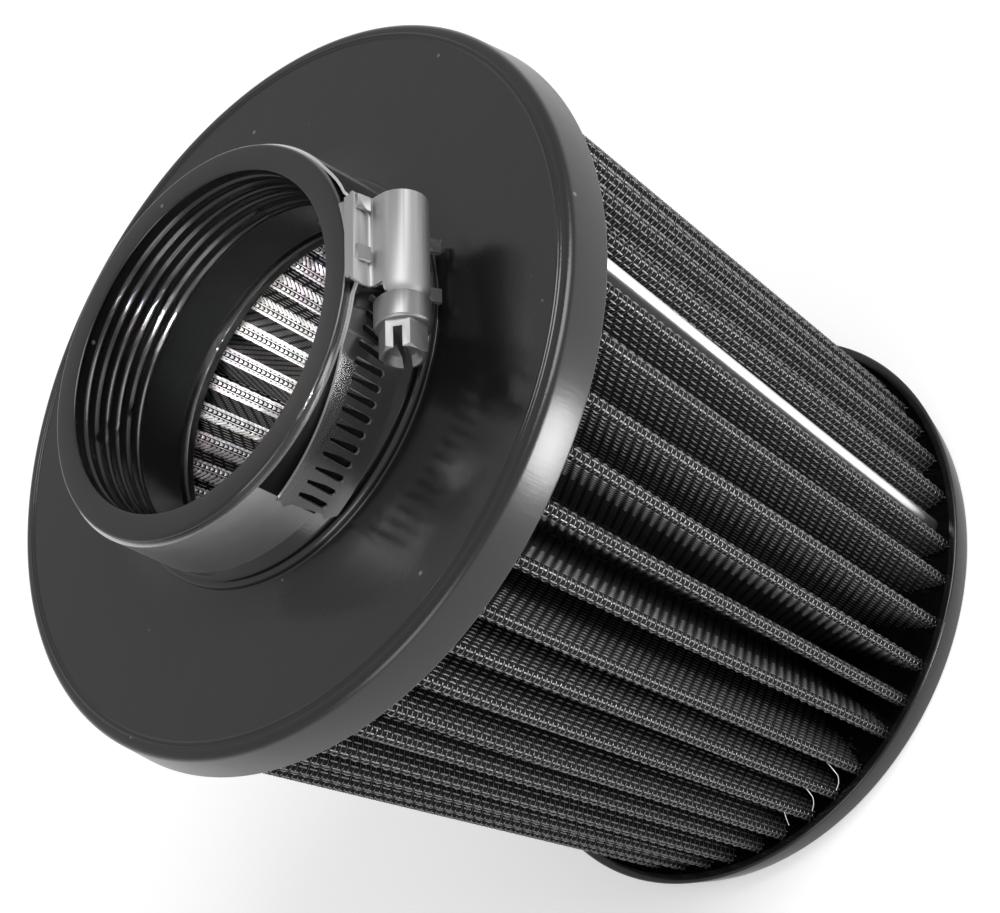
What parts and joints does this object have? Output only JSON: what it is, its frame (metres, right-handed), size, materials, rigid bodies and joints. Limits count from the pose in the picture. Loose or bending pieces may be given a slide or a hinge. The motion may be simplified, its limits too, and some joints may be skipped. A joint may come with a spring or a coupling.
{
  "type": "cone air filter",
  "caption": "Pleated cone air filter with a ribbed clamp-on neck, a moulded base and end cap, wire mesh over gauze, and a worm drive hose clamp on the neck.",
  "frame": {"origin": "on the filter's axis, at the underside of the end cap", "axes": "+Z along the filter's axis from the end cap to the mouth of the neck; -Y towards the side the picture shows"},
  "size_m": [0.1532, 0.1532, 0.1614],
  "materials": {
    "black_rubber": "satin moulded polyurethane",
    "black_mesh": "black coated woven wire",
    "gauze": "matt cotton gauze",
    "bright_mesh": "bright woven wire",
    "polished_strip": "polished",
    "clamp_band": "brushed stainless",
    "clamp_steel": "bright stainless",
    "screw_steel": "plated steel"
  },
  "bodies": {
    "filter": {"base_flange": "black_rubber", "end_cap": "black_rubber", "outer_mesh": "black_mesh", "gauze_media": "gauze", "inner_mesh": "bright_mesh", "seam_clip": "polished_strip", "clamp_band": "clamp_band", "clamp_saddle": "clamp_steel", "clamp_housing": "clamp_steel"},
    "screw": {"clamp_screw": "screw_steel"}
  },
  "joints": [
    {"name": "screw_turn", "type": "hinge", "parent": "filter", "child": "screw", "pos_m": [0.03031, -0.03462, 0.1518], "axis": [-0.7524, -0.6587, 0], "continuous": true}
  ]
}
